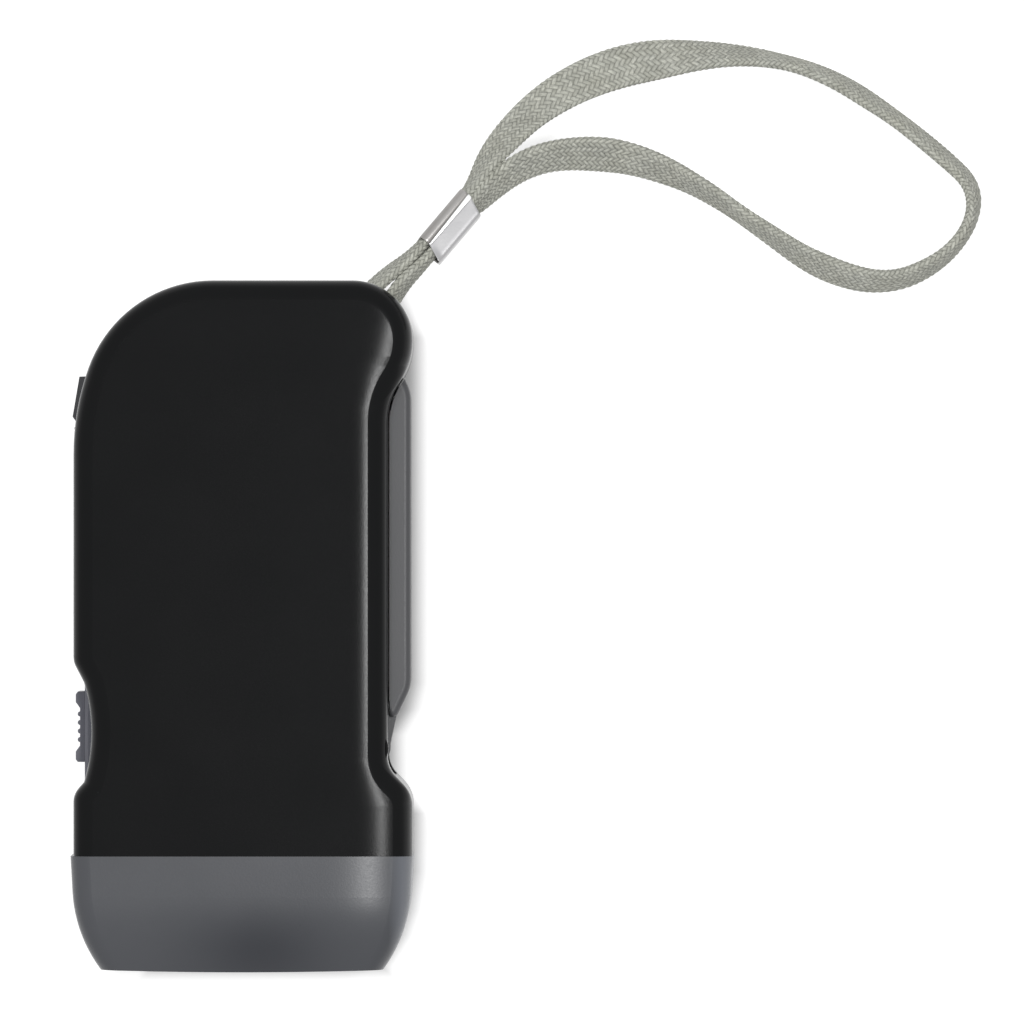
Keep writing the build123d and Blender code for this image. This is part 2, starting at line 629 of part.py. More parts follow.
with BuildPart() as idler_gear:
    small_phase = idler_angle + 180 - 180 / idler_pinion_teeth
    with BuildSketch(Plane.XY.offset(idler_low)):
        add(gear_plan(idler_pinion_teeth, train_module, idler_at, small_phase))
    extrude(amount=idler_step - idler_low)
    with BuildSketch(Plane.XY.offset(idler_step)):
        add(gear_plan(idler_teeth, train_module, idler_at, rotor_angle))
    extrude(amount=idler_top - idler_step)
    with BuildSketch(Plane.XY.offset(idler_top - 1.0)):
        with Locations(idler_at):
            Circle(6.0)
            Circle(2.4, mode=Mode.SUBTRACT)
    extrude(amount=1.0, mode=Mode.SUBTRACT)
    posts([idler_at], axle_r + run_gap, idler_low, idler_top, Mode.SUBTRACT)

with BuildPart() as idler_axle:
    posts([idler_at], axle_r, bridge_low, axle_top)

with BuildPart() as rotor_hub:
    posts([rotor_at], hub_core_r, rotor_hub_low, rotor_pinion_low + 0.2)
    rotor_phase = rotor_angle + 180 - 180 / rotor_pinion_teeth
    with BuildSketch(Plane.XY.offset(rotor_pinion_low)):
        add(gear_plan(rotor_pinion_teeth, train_module, rotor_at, rotor_phase))
    extrude(amount=rotor_top - rotor_pinion_low)
    posts([rotor_at], rotor_axle_r + run_gap, rotor_hub_low, rotor_top, Mode.SUBTRACT)

with BuildPart() as ring_magnet:
    with BuildSketch(Plane.XY.offset(magnet_low)):
        with Locations(rotor_at):
            Circle(magnet_r)
            Circle(hub_core_r, mode=Mode.SUBTRACT)
    extrude(amount=magnet_top - magnet_low)

with BuildPart() as flywheel:
    with BuildSketch(Plane.XY.offset(magnet_top)):
        with Locations(rotor_at):
            Circle(wheel_r)
            Circle(hub_core_r, mode=Mode.SUBTRACT)
    extrude(amount=wheel_top - magnet_top)
    # a shallow dish in its top
    with BuildSketch(Plane.XY.offset(magnet_top + 1.0)):
        with Locations(rotor_at):
            Circle(wheel_r - 1.8)
            Circle(hub_core_r + 1.4, mode=Mode.SUBTRACT)
    extrude(amount=wheel_top - magnet_top, mode=Mode.SUBTRACT)

with BuildPart() as rotor_axle:
    posts([rotor_at], rotor_axle_r, rotor_axle_low, axle_top)

with BuildPart() as bridge_plate:
    bridge_margin, bridge_ring_r, bridge_hole_r = 2.2, 6.0, 3.9
    with BuildSketch(Plane.XY.offset(bridge_low)):
        with BuildLine():
            Polyline(*bridge_posts, close=True)
        make_face()
        offset(amount=bridge_margin)
        with Locations(rotor_at):
            Circle(bridge_ring_r)
            Circle(bridge_hole_r, mode=Mode.SUBTRACT)
        with Locations(idler_at):
            Circle(axle_r, mode=Mode.SUBTRACT)
        with Locations(*bridge_posts):
            Circle(bridge_screw_r + run_gap, mode=Mode.SUBTRACT)
    extrude(amount=bridge_top - bridge_low)

with BuildPart() as bridge_screws:
    posts(bridge_posts, 2 * bridge_screw_r, bridge_top, bridge_top + 0.3)
    posts(bridge_posts, bridge_screw_r, bridge_top - 6.0, bridge_top)

# Coil -------------------------------------------------------------------------------------------
yoke_in = magnet_r + pole_gap
yoke_out = yoke_in + yoke_bar
pole_slot = 5.0  # between the two poles, on the side away from the coil
bar_high = yoke_top - yoke_low
bobbin_long, bobbin_flange, flange_thick, core_wall = 12.4, 12.0, 1.0, 0.8
bobbin_plane = Plane((rotor_at[0], coil_y, (yoke_low + yoke_top) / 2), x_dir=(0, 1, 0), z_dir=(1, 0, 0))

with BuildPart() as stator_yoke:
    with BuildSketch(Plane.XY.offset(yoke_low)):
        with Locations(rotor_at):
            Circle(yoke_out)
        with Locations((rotor_at[0], (coil_y + rotor_at[1]) / 2)):
            Rectangle(2 * yoke_out, rotor_at[1] - coil_y + yoke_bar)
        # the window between the crossbar and the poles
        window_floor, window_roof = coil_y + yoke_bar / 2, rotor_at[1] - 3.0
        with Locations((rotor_at[0], (window_floor + window_roof) / 2)):
            Rectangle(2 * yoke_in - 2.4, window_roof - window_floor, mode=Mode.SUBTRACT)
        with Locations(rotor_at):
            Circle(yoke_in, mode=Mode.SUBTRACT)
            with Locations((0, yoke_out)):
                Rectangle(pole_slot, 3 * yoke_bar, mode=Mode.SUBTRACT)
    extrude(amount=bar_high)

with BuildPart() as coil_bobbin:
    with BuildSketch(bobbin_plane):
        Rectangle(yoke_bar + 2 * core_wall, bar_high + 2 * core_wall)
    extrude(amount=bobbin_long / 2, both=True)
    for side in (-1, 1):
        with BuildSketch(bobbin_plane.offset(side * (bobbin_long - flange_thick) / 2)):
            RectangleRounded(bobbin_flange, bobbin_flange, 2.0)
        extrude(amount=flange_thick / 2, both=True)
    with BuildSketch(bobbin_plane):
        Rectangle(yoke_bar, bar_high)
    extrude(amount=bobbin_long, both=True, mode=Mode.SUBTRACT)

with BuildPart() as coil:
    with BuildSketch(bobbin_plane):
        RectangleRounded(bobbin_flange - 1.4, bobbin_flange - 1.4, 3.0)
        Rectangle(yoke_bar + 2 * core_wall, bar_high + 2 * core_wall, mode=Mode.SUBTRACT)
    extrude(amount=bobbin_long / 2 - flange_thick, both=True)

# Cells and circuit -----------------------------------------------------------------------------
stack_long = 3 * cell_long + 2 * cell_gap
board_low, board_top = 15.0, 16.2
board_at = (cell_at[0], -26.2)
diode_at = (-6.0, -3.0, 0.0, 3.0)  # along the board
diode_r, diode_long, lead_thick, lead_reach = 1.0, 4.2, 0.5, 3.15


def cell_plane(along):
    """A plane across the row of cells, at a distance along it from its middle."""
    return Plane((cell_at[0] + along, cell_at[1], cell_at[2]), x_dir=(0, 1, 0), z_dir=(1, 0, 0))


with BuildPart() as battery_cells:
    for cell in (-1, 0, 1):
        with BuildSketch(cell_plane(cell * (cell_long + cell_gap))):
            Circle(cell_r)
        extrude(amount=cell_long / 2, both=True)
    chamfer(battery_cells.edges().filter_by(GeomType.CIRCLE), 0.5)

with BuildPart() as cell_contacts:
    for side in (-1, 1):
        with BuildSketch(cell_plane(side * stack_long / 2)):
            Rectangle(7.0, 9.0)
        extrude(amount=side * 0.4)
    for link in (-0.5, 0.5):
        with BuildSketch(cell_plane(link * (cell_long + cell_gap))):
            Circle(3.0)
        extrude(amount=cell_gap / 2, both=True)

with BuildPart() as main_board:
    with BuildSketch(Plane.XY.offset(board_low)):
        with Locations(board_at):
            RectangleRounded(24.0, 11.4, 0.8)
    extrude(amount=board_top - board_low)

with BuildPart() as board_posts:
    spots = [(board_at[0] + side * cradle_x, board_at[1]) for side in (-1, 1)]
    blocks(spots, 1.2, 9.0, cradle_top, board_low)

with BuildPart() as board_parts:
    # four diodes, with leads bent down to the board, and a capacitor
    for spot in diode_at:
        middle = Plane((spot, board_at[1], board_top + diode_r), x_dir=(1, 0, 0), z_dir=(0, 1, 0))
        with BuildSketch(middle):
            Circle(diode_r)
        extrude(amount=diode_long / 2, both=True)
        with BuildSketch(middle):
            Rectangle(lead_thick, lead_thick)
        extrude(amount=lead_reach + lead_thick / 2, both=True)
    feet = [(spot, board_at[1] + side * lead_reach) for spot in diode_at for side in (-1, 1)]
    blocks(feet, lead_thick, lead_thick, board_top, board_top + diode_r + lead_thick / 2)
    posts([(9.2, board_at[1])], 2.5, board_top, board_top + 5.4)

# Switch ------------------------------------------------------------------------------------------
with BuildPart() as switch_plate:
    seat_mid = (-(waist_x + plate_x) / 2, (waist_top_y + waist_low_y) / 2)
    blocks([seat_mid], waist_x - plate_x, waist_top_y - waist_low_y - 0.2, plate_low, plate_top)
    chamfer(switch_plate.faces().sort_by(Axis.X)[0].edges().filter_by(Axis.Y), 0.5)
    blocks([(-22.9, stem_mid)], 4.0, stem_slot_long, *stem_slot_z, Mode.SUBTRACT)

with BuildPart() as power_knob:
    knob_in, knob_out, rib_in, rib_out = -24.05, -25.4, -24.75, -25.1
    stem_in = -21.7
    top_y, low_y = switch_y + knob_long / 2, switch_y - knob_long / 2
    rib_at = [(rib_in, switch_y + 1.3 * rib) for rib in (-1.5, -0.5, 0.5, 1.5)]
    with BuildSketch(Plane.XY.offset(knob_low)):
        with BuildLine():
            # two raised ends, with a dip for the ribs between them
            edge_in, dip = knob_out + 0.3, 2.5
            upper = [(knob_in, top_y), (edge_in, top_y), (knob_out, top_y - 0.4), (knob_out, top_y - 1.6)]
            lower = [(knob_out, low_y + 1.6), (knob_out, low_y + 0.4), (edge_in, low_y), (knob_in, low_y)]
            Polyline(*upper, (rib_in, top_y - dip), (rib_in, low_y + dip), *lower, close=True)
        make_face()
        with Locations(*rib_at):
            Ellipse(rib_in - rib_out, 0.38)
    extrude(amount=knob_top - knob_low)
    stem_z = (split_z - stem_high / 2, split_z + stem_high / 2)
    blocks([((knob_in + stem_in) / 2, switch_y)], stem_in - knob_in, stem_long, *stem_z)
    # socket for the switch's actuator
    blocks([(-22.2, switch_y)], 1.6, 2.0, split_z - 0.8, split_z + 0.8, Mode.SUBTRACT)

with BuildPart() as switch_actuator:
    blocks([(-21.2, switch_y)], 3.6, 2.0, split_z - 0.8, split_z + 0.8)

with BuildPart() as slide_switch:
    can_low, can_top, can_long = split_z - 3.2, split_z + 3.2, 11.0
    blocks([(-18.9, stem_mid)], 3.4, can_long, can_low, can_top)
    blocks([(-20.0, stem_mid)], 1.8, 2.6 + switch_travel, split_z - 1.1, split_z + 1.1, Mode.SUBTRACT)
    # two feet that tie it to the wall, and its three pins
    blocks([(-20.8, stem_mid - 5.2), (-20.8, stem_mid + 5.2)], 0.6, 0.6, can_low, can_top)
    with BuildSketch(Plane.YZ.offset(-17.2)):
        with Locations(*[(stem_mid + pin, split_z) for pin in (-3.0, 0.0, 3.0)]):
            Rectangle(0.8, 0.3)
    extrude(amount=2.6)

# Lock slider --------------------------------------------------------------------------------------
with BuildPart() as lock_slider:
    with BuildSketch(Plane.XY.offset(lock_low)):
        with BuildLine():
            ramp = [(-22.7, lock_top_y), (-24.9, lock_top_y - 0.1), (-25.93, 31.8), (-25.3, 30.9)]
            Polyline(*ramp, (-25.3, lock_low_y), (-23.0, lock_low_y), close=True)
        make_face()
        with Locations(*[(-25.3, 30.0 - 1.3 * rib) for rib in range(4)]):
            Ellipse(0.35, 0.42)
    extrude(amount=lock_top - lock_low)
    blocks([(-22.9, tongue_y)], 0.9, tongue_long, lock_low - tongue_lip, lock_top + tongue_lip)
    # the catch, over the lever's arc
    with BuildSketch(Plane.XY.offset(arc_top + 0.35)):
        with BuildLine():
            Polyline((-22.6, 27.0), (-22.6, 18.6), (-16.4, 17.6), (-16.0, 20.0), (-19.4, 22.4), close=True)
        make_face()
    extrude(amount=1.2)

# Strap ----------------------------------------------------------------------------------------------
def bend_radii(route, share=0.45):
    """Radius of the arc at each inner point: it uses a share of the shorter run."""
    radii = []
    for before, here, after in zip(route, route[1:], route[2:]):
        into, out = Vector(here) - Vector(before), Vector(after) - Vector(here)
        half_turn = radians(into.get_angle(out)) / 2
        radii.append(share * min(into.length, out.length) / tan(half_turn))
    return radii


radii = bend_radii(strap_route)
print("strap radii", [round(r, 1) for r in radii])
runs = [(Vector(b) - Vector(a)).length for a, b in zip(strap_route, strap_route[1:])]
print("strap runs", [round(r, 1) for r in runs])
with BuildPart() as strap:
    with BuildLine() as strap_line:
        FilletPolyline(*strap_route, radius=radii)
    heading = Vector(strap_route[1]) - Vector(strap_route[0])
    with BuildSketch(Plane(strap_route[0], x_dir=(0, 0, 1), z_dir=heading)):
        Rectangle(lace_wide, lace_thick)
    # the line above the route keeps the lace on edge
    sweep(binormal=Pos(0, 0, lace_wide) * strap_line.wire())
strap_long = sum(edge.length for edge in strap_line.edges())
lace_volume = lace_wide * lace_thick * strap_long
print("strap length", round(strap_long, 1), "volume", round(strap.part.volume), round(lace_volume))

ferrule_heading = Vector(strap_route[3]) - Vector(strap_route[2])
ferrule_across = (-ferrule_heading.Y, ferrule_heading.X, 0)
ferrule_plane = Plane((*ferrule_at, ferrule_z), x_dir=ferrule_across, z_dir=ferrule_heading)
ferrule_wide, ferrule_high, ferrule_long, ferrule_wall = 5.0, 8.2, 9.8, 0.55
with BuildPart() as ferrule:
    with BuildSketch(ferrule_plane):
        RectangleRounded(ferrule_wide, ferrule_high, 1.4)
        RectangleRounded(
            ferrule_wide - 2 * ferrule_wall, ferrule_high - 2 * ferrule_wall, 0.9, mode=Mode.SUBTRACT
        )
        # the joint of the folded sheet
        with Locations((0, ferrule_high / 2)):
            Rectangle(0.4, 2.0, mode=Mode.SUBTRACT)
    extrude(amount=ferrule_long / 2, both=True)

pieces = {
    "back_case": back_case,
    "front_case": front_case,
    "case_screws": case_screws,
    "head_cover": head_cover,
    "lens": lens,
    "reflector": reflector,
    "led_board": led_board,
    "leds": leds,
    "lever": lever,
    "lever_pin": lever_pin,
    "lever_spring": lever_spring,
    "drive_pinion": drive_pinion,
    "drive_gear": drive_gear,
    "ratchet_pawls": ratchet_pawls,
    "drive_axle": drive_axle,
    "idler_gear": idler_gear,
    "idler_axle": idler_axle,
    "rotor_hub": rotor_hub,
    "ring_magnet": ring_magnet,
    "flywheel": flywheel,
    "rotor_axle": rotor_axle,
    "bridge_plate": bridge_plate,
    "bridge_screws": bridge_screws,
    "stator_yoke": stator_yoke,
    "coil_bobbin": coil_bobbin,
    "coil": coil,
    "battery_cells": battery_cells,
    "cell_contacts": cell_contacts,
    "main_board": main_board,
    "board_posts": board_posts,
    "board_parts": board_parts,
    "switch_plate": switch_plate,
    "power_knob": power_knob,
    "switch_actuator": switch_actuator,
    "slide_switch": slide_switch,
    "lock_slider": lock_slider,
    "strap": strap,
    "ferrule": ferrule,
}
for label, piece in pieces.items():
    piece.part.label = label
    export_step(piece.part, f"parts/{label}.step")
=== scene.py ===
"""Looks of a squeeze-lever torch lying on its back: camera, wrist lace, clip, finishes, floor and light.

Lengths are in metres, with +Y towards the strap end, +X on the lever's side and +Z out of the front face.
"""
import json

import bmesh
import bpy
import numpy as np
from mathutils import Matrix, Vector


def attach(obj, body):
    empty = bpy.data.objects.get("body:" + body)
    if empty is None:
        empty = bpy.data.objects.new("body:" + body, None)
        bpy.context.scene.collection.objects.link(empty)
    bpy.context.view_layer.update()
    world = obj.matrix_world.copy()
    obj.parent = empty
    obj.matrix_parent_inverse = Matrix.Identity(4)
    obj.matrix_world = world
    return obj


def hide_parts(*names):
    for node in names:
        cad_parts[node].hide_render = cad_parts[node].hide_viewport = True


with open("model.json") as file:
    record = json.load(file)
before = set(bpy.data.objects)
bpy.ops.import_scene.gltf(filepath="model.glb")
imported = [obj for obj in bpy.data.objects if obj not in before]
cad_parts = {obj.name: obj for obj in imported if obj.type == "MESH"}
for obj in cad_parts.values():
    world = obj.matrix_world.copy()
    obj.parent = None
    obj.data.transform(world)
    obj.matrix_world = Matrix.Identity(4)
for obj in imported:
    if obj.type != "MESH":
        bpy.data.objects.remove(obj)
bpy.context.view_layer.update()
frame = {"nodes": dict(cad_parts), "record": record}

MM = 0.001
nodes = frame["nodes"]

# --- Driving values -------------------------------------------------------------------------------------
PHOTO_WIDE, PHOTO_HIGH = 1024, 1018         # the picture's pixels
PX_PER_M = 6560.0                           # pixels to a metre at the height of the case's seam
ORIGIN_PX = (243.5, 625.5)                  # where the torch's origin falls in the picture
SEAM_HEIGHT = 14 * MM
LENS, SENSOR = 400.0, 36.0                  # millimetres

LACE_WIDE, LACE_THICK = 6.4 * MM, 1.7 * MM
LACE_SPREAD = 0.06                          # how much wider it lies where it lies flat
LACE_CUP = 0.35 * MM                        # how far its middle hollows
YARN = 0.92 * MM                            # one repeat of the braid, along and across the lace
RELIEF = 0.26 * MM                          # how far a yarn stands out
LACE_STEPS, LACE_SIDES = 1100, 72           # points along the lace and round its section
PATH_STEPS = 400                            # points of the line that the cord is measured by
LEAN_BLUR = 25                              # steps over which the lean is evened out
SWAY = ((0.5, 5.3 * MM), (0.4, 1.9 * MM))   # the braid's slow waves: size in yarns, and length over 2 pi
WAVE, WAVE_STEP = 0.35, 3.1 * MM            # the same for the wave that runs round the lace
FLOOR_GAP = 0.1 * MM                        # the least height of the lace over the floor

LACE_ROUTE = np.array([
    (17.0, 48.9, 14.0), (20.8, 52.7, 14.0), (26.4, 56.9, 13.2), (34.7, 66.5, 10.9), (38.2, 72.7, 9.7),
    (45.4, 80.0, 8.4), (55.0, 85.0, 7.0), (66.0, 87.2, 5.6), (77.5, 87.5, 4.6), (88.5, 84.9, 3.9),
    (98.6, 78.7, 3.6), (107.2, 71.8, 3.5), (112.0, 67.2, 3.4), (111.5, 61.2, 3.4), (106.6, 55.4, 3.4),
    (98.2, 51.9, 3.5), (88.0, 54.7, 3.6), (78.6, 61.1, 4.1), (68.6, 67.9, 5.2), (58.6, 71.8, 6.6),
    (49.4, 72.3, 8.2), (42.4, 70.5, 9.6), (36.2, 65.4, 10.9), (27.8, 55.6, 13.2), (23.0, 50.9, 14.0),
    (20.6, 45.6, 14.0),
]) * MM

# how far the lace's face leans from flat, in degrees, at shares of its length
LACE_LEAN = (
    (0.000, 76), (0.030, 76), (0.045, 80), (0.058, 89), (0.103, 89), (0.125, 66), (0.150, 50), (0.173, 42),
    (0.197, 32), (0.230, 20), (0.261, 22), (0.291, 50), (0.321, 67), (0.351, 78), (0.383, 73), (0.406, 70),
    (0.430, 75), (0.467, 73), (0.505, 76), (0.525, 83), (0.546, 79), (0.570, 71), (0.591, 69), (0.611, 63),
    (0.632, 60), (0.666, 70), (0.702, 78), (0.738, 69), (0.770, 53), (0.801, 43), (0.831, 51), (0.853, 55),
    (0.880, 62), (0.896, 70), (0.908, 88), (0.944, 89), (0.957, 80), (0.970, 76), (1.000, 76),
)

CLIP_AT = (31.5 * MM, 60.8 * MM, 11.9 * MM)
CLIP_HEADING = (8.6, 10.2, -2.3)
CLIP_WIDE, CLIP_HIGH, CLIP_LONG, CLIP_SHEET = 5.0 * MM, 8.2 * MM, 9.8 * MM, 0.4 * MM
CLIP_SHEAR, CLIP_FLARE = 2.2 * MM, 0.3 * MM

# the crown: the x of the face's edge at each y in millimetres, nearer in beside the lever than in the lobes
NECK_EDGE = 19.5
FACE_EDGE = ((-27, 22.1), (-20.4, NECK_EDGE), (33, NECK_EDGE), (37.4, 21.0), (40.8, 22.7), (46.2, 23.8))
LOBE_FROM, NECK_FROM = 22.0 * MM, 19.6 * MM  # edges from which a point counts as lobe and as neck
NECK_REACH, LOBE_REACH = 3.4 * MM, 5.6 * MM  # how far inside its edge the face starts to fall
HOOD_EDGE, HOOD_REACH = 20.6 * MM, 9 * MM
CROWN_TILT = 0.16                           # its slope at the edge
DIP_BEND = 133.0                            # the dip past the neck's edge is CROWN_TILT / DIP_BEND wide
DIP_SHARE = 0.35                            # share of the reach after which it ends

# the painted shade low on the hood, a dark spot: its middle, and how far it goes each way
PAINTED_SHADE_X, PAINTED_SHADE_Y, PAINTED_SHADE_WIDE, PAINTED_SHADE_HIGH = 2.8 * MM, -49 * MM, 8.5 * MM, 5.5 * MM

# the floor's painted shadow, a darker patch round the torch: how far it goes to the right and to the left at
# each y, in millimetres
SHADE_RIGHT = ((-52.4, 20.8), (-48, 23.6), (-44, 25.0), (-38, 26), (-29, 26), (-25, 22.6), (-17, 22.6),
               (-13, 25), (-9, 26), (44, 26), (50, 23))
SHADE_LEFT = ((-52.4, 14), (-48, 18), (-40, 22), (20, 22), (34, 18), (42, 12), (50, 3))
SHADE_LOW, SHADE_HIGH = (SHADE_LEFT[end][0] * MM for end in (0, -1))
SHADE_IN, SHADE_OUT = -1.5 * MM, 2.7 * MM   # dark as far inside its edge, and white as far outside it
FLOOR_GLOW = 0.72                           # the floor's emission away from the patch
PLAIN_LIGHT = 0.42                          # the world's strength for rough surfaces

KEY_PLACE, KEY_SIZE, KEY_WATTS = (-0.18, 0.22, 1.0), 0.2, 3.8
EDGE_PLACE, EDGE_SIZE, EDGE_WATTS = (0.235, 0.0, 1.0), 0.11, 3.0

BLACK, WHITE = (0.0, 0.0, 0.0, 1.0), (1.0, 1.0, 1.0, 1.0)


# --- Shader maths ---------------------------------------------------------------------------------------
class Value:
    """An output in a material's tree. Operators on it add Math nodes, so 1 - mask is a node too."""

    def __init__(self, tree, socket):
        self.tree, self.socket = tree, socket

    def math(self, operation, *others):
        made = self.tree.nodes.new("ShaderNodeMath")
        made.operation = operation
        for place, value in enumerate((self, *others)):
            join(self.tree, made.inputs[place], value)
        return Value(self.tree, made.outputs[0])

    def __add__(self, other): return self.math("ADD", other)
    def __radd__(self, other): return self.math("ADD", other)
    def __mul__(self, other): return self.math("MULTIPLY", other)
    def __rmul__(self, other): return self.math("MULTIPLY", other)
    def __sub__(self, other): return self.math("SUBTRACT", other)
    def __rsub__(self, other): return (self * -1.0) + other
    def __truediv__(self, other): return self.math("DIVIDE", other)
    def __pow__(self, other): return self.math("POWER", other)
    def floor(self): return self.math("FLOOR")
    def fraction(self): return self.math("FRACT")
    def sine(self): return self.math("SINE")
    def root(self): return self.math("SQRT")
    def exponent(self): return self.math("EXPONENT")
    def below(self, other): return self.math("LESS_THAN", other)
    def least(self, other): return self.math("MINIMUM", other)
    def most(self, other): return self.math("MAXIMUM", other)
    def wrap(self, high): return self.math("WRAP", high, 0.0)


def join(tree, target, value):
    """Puts a number, a colour or another node's output into a socket."""
    if isinstance(value, Value):
        tree.links.new(value.socket, target)
    else:
        target.default_value = value


class Finish:
    """A material on one Principled shader, with one method that adds any node to it."""

    def __init__(self, name, **constants):
        self.material = bpy.data.materials.new(name)
        self.material.use_nodes = True
        self.tree = self.material.node_tree
        self.shader = self.tree.nodes["Principled BSDF"]
        for socket, value in constants.items():
            self.set(socket.replace("_", " "), value)

    def set(self, socket, value):
        join(self.tree, self.shader.inputs[socket], value)

    def node(self, kind, settings=None, sockets=None, out=0):
        """A new node's output. settings are its properties, or a ramp's stops, and sockets its inputs."""
        made = self.tree.nodes.new("ShaderNode" + kind)
        for key, value in (settings or {}).items():
            if key == "stops":
                for stop in value[2:]:
                    made.color_ramp.elements.new(stop[0])
                for element, (place, colour) in zip(made.color_ramp.elements, sorted(value)):
                    element.position, element.color = place, colour
            else:
                setattr(made, key, value)
        for key, value in (sockets or {}).items():
            join(self.tree, made.inputs[key], value)
        return Value(self.tree, made.outputs[out])

    def place(self):
        """The point on the piece, in metres."""
        return self.node("TexCoord", out="Object")

    def axes(self, place=None):
        """The point's three numbers."""
        parts = self.tree.nodes.new("ShaderNodeSeparateXYZ")
        join(self.tree, parts.inputs[0], place or self.place())
        return [Value(self.tree, out) for out in parts.outputs]

    def noise(self, size, detail=2.0, roughness=0.5, place=None, stretch=None):
        """Noise from 0 to 1 with grains of a size in metres, drawn out along an axis by stretch."""
        spot = place or self.place()
        if stretch:
            spot = self.node("Mapping", None, {"Vector": spot, "Scale": stretch})
        return self.node("TexNoise", None, {"Vector": spot, "Scale": 1 / size, "Detail": detail,
                                            "Roughness": roughness})

    def mix(self, share, first, second):
        return self.node("Mix", {"data_type": "RGBA"}, {0: share, 6: first, 7: second}, out=2)

    def ramp(self, value, *stops):
        return self.node("ValToRGB", {"stops": stops}, {"Fac": value})

    def profile(self, along, *stops):
        """A length in metres that goes straight from stop to stop, each (along, length) in millimetres."""
        span = 120.0
        shades = [(at / span + 0.5, (length / span,) * 3 + (1.0,)) for at, length in stops]
        return self.ramp(along / (span * MM) + 0.5, *shades) * (span * MM)

    def bump(self, height, depth):
        """Tilts the surface as if it stood depth metres high where height is 1."""
        self.set("Normal", self.node("Bump", None, {"Height": height, "Distance": depth, "Strength": 1.0}))


def tone(red, green, blue):
    """A colour of the picture, 0 to 255, as linear light."""
    levels = [(level / 255 / 12.92) if level <= 10 else ((level / 255 + 0.055) / 1.055) ** 2.4
              for level in (red, green, blue)]
    return (*levels, 1.0)


# --- Mesh helpers ---------------------------------------------------------------------------------------
def surface(name, grid, closed=True, smooth=True):
    """A mesh of quads on a grid of points, rows by columns by 3. Closed joins each row's end to its start."""
    rows, columns = grid.shape[:2]
    row = np.arange(rows - 1)[:, None]
    column = np.arange(columns if closed else columns - 1)[None, :]
    next_row, next_column = row + 1, (column + 1) % columns
    quads = np.stack([row * columns + column, next_row * columns + column,
                      next_row * columns + next_column, row * columns + next_column], axis=-1).reshape(-1, 4)
    mesh = bpy.data.meshes.new(name)
    mesh.from_pydata(grid.reshape(-1, 3).tolist(), [], quads.tolist())
    mesh.polygons.foreach_set("use_smooth", np.full(len(mesh.polygons), smooth))
    mesh.update()
    piece = bpy.data.objects.new(name, mesh)
    bpy.context.scene.collection.objects.link(piece)
    return piece


def wear(piece, finish):
    piece.data.materials.clear()
    piece.data.materials.append(finish.material)


def close_up(piece, sharp=40.0):
    """Welds points that meet, turns faces outwards, and keeps edges over so many degrees crisp."""
    shape = bmesh.new()
    shape.from_mesh(piece.data)
    bmesh.ops.remove_doubles(shape, verts=shape.verts, dist=1e-6)
    bmesh.ops.recalc_face_normals(shape, faces=shape.faces)
    shape.to_mesh(piece.data)
    shape.free()
    piece.data.set_sharp_from_angle(angle=np.radians(sharp))


def unit(vectors):
    return vectors / np.linalg.norm(vectors, axis=-1, keepdims=True)


# --- Camera ---------------------------------------------------------------------------------------------
def make_camera():
    """Straight above the middle of the picture, at the height where the seam has the picture's scale."""
    data = bpy.data.cameras.new("camera")
    data.lens, data.sensor_width = LENS, SENSOR
    distance = PHOTO_WIDE / PX_PER_M * LENS / SENSOR
    camera = bpy.data.objects.new("camera", data)
    camera.location = ((PHOTO_WIDE / 2 - ORIGIN_PX[0]) / PX_PER_M, (ORIGIN_PX[1] - PHOTO_HIGH / 2) / PX_PER_M,
                       SEAM_HEIGHT + distance)
    data.clip_end = 10.0
    bpy.context.scene.collection.objects.link(camera)
    bpy.context.scene.camera = camera


make_camera()


# --- Wrist lace -----------------------------------------------------------------------------------------
def smooth_route(points):
    """Points read from an open NURBS curve whose control points are the route's."""
    data = bpy.data.curves.new("lace_route", "CURVE")
    data.dimensions = "3D"
    spline = data.splines.new("NURBS")
    spline.points.add(len(points) - 1)
    spline.points.foreach_set("co", np.column_stack([points, np.ones(len(points))]).ravel())
    spline.order_u = 3
    spline.use_endpoint_u = True
    spline.resolution_u = 24
    holder = bpy.data.objects.new("lace_route", data)
    bpy.context.scene.collection.objects.link(holder)
    bpy.context.view_layer.update()
    read = bpy.data.meshes.new_from_object(holder)
    line = np.empty(len(read.vertices) * 3)
    read.vertices.foreach_get("co", line)
    bpy.data.objects.remove(holder)
    bpy.data.meshes.remove(read)
    return line.reshape(-1, 3)


def walk(line, count):
    """The line again as count evenly spaced points, with the distance walked to each."""
    far = np.concatenate([[0], np.cumsum(np.linalg.norm(np.diff(line, axis=0), axis=1))])
    steps = np.linspace(0, far[-1], count)
    return np.column_stack([np.interp(steps, far, line[:, axis]) for axis in range(3)]), steps


def directions(line):
    """Along the line, level across it, and square to both."""
    along = unit(np.gradient(line, axis=0))
    across = unit(np.cross(along, (0.0, 0.0, 1.0)))
    return along, across, np.cross(across, along)


def braid(along, around):
    """Height of a two-over-two braid, 0 in the gaps to 1 on a yarn's back.

    Two families of yarns cross at plus and minus 45 degrees, numbered by the floors of u + v and u - v.
    Where half the difference of the two numbers is even, the first family lies on top. A yarn's height is
    a half circle across its width, times a low arch along the two crossings that it floats over.
    """
    u, v = along / YARN, around / YARN
    first, second = u + v, u - v
    number = np.mod(np.floor(first) - np.floor(second), 4)
    first_on_top = number < 2
    across = np.where(first_on_top, second, first) % 1
    drift = np.where(first_on_top, first % 1, 1 - second % 1)
    arch = 0.4 + 0.6 * np.sin(np.pi * (drift + number % 2) / 2)
    return np.sqrt(np.clip(1 - (2 * across - 1) ** 2, 0, 1)) * arch


